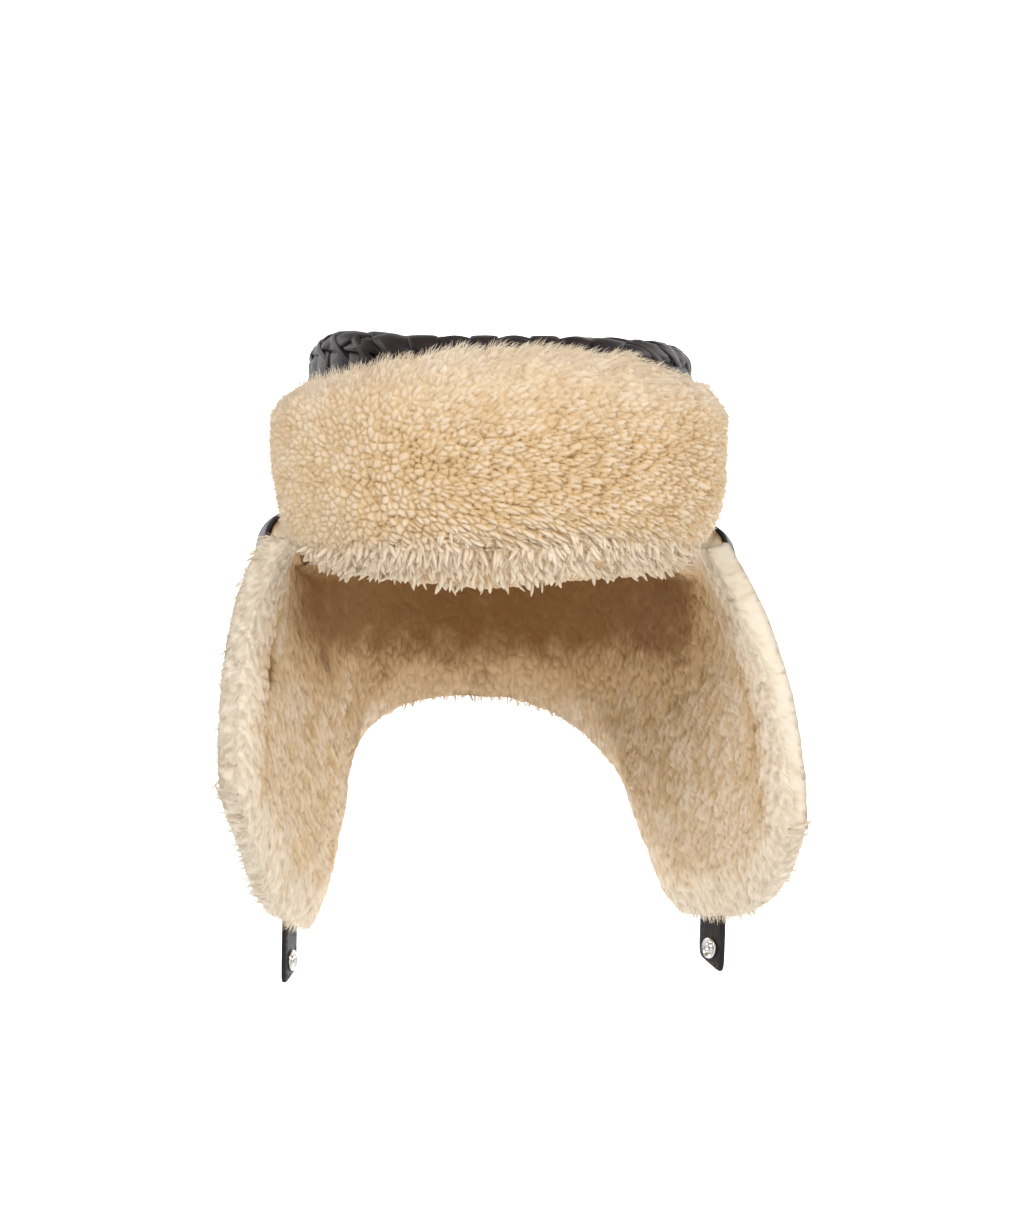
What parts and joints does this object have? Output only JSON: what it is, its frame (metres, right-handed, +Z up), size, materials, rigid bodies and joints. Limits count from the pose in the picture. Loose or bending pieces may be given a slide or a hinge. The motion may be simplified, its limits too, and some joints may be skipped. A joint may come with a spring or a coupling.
{
  "type": "shearling flying hat",
  "caption": "Winter flying hat with a woven leather crown, a turned-up shearling front flap, shearling-lined ear flaps and neck piece, and snap tabs.",
  "frame": {"origin": "where the top of the head touches the lining of the crown", "axes": "+Z up out of the crown, the face looks along -Y, +X to the wearer's left"},
  "size_m": [0.2782, 0.2572, 0.3205],
  "materials": {
    "woven_leather": "soft gloss nappa strips",
    "smooth_leather": "soft gloss nappa",
    "shearling": "curly wool pile, paler at the tips",
    "snap_metal": "polished nickel"
  },
  "bodies": {
    "root": {"crown_top": "woven_leather", "crown_wall": "woven_leather", "crown_lining": "shearling", "curtain_leather": "smooth_leather", "curtain_shearling": "shearling", "front_flap_leather": "smooth_leather", "front_flap_shearling": "shearling", "tab_right": "smooth_leather", "tab_left": "smooth_leather", "snap_right": "snap_metal", "snap_left": "snap_metal"}
  },
  "joints": []
}
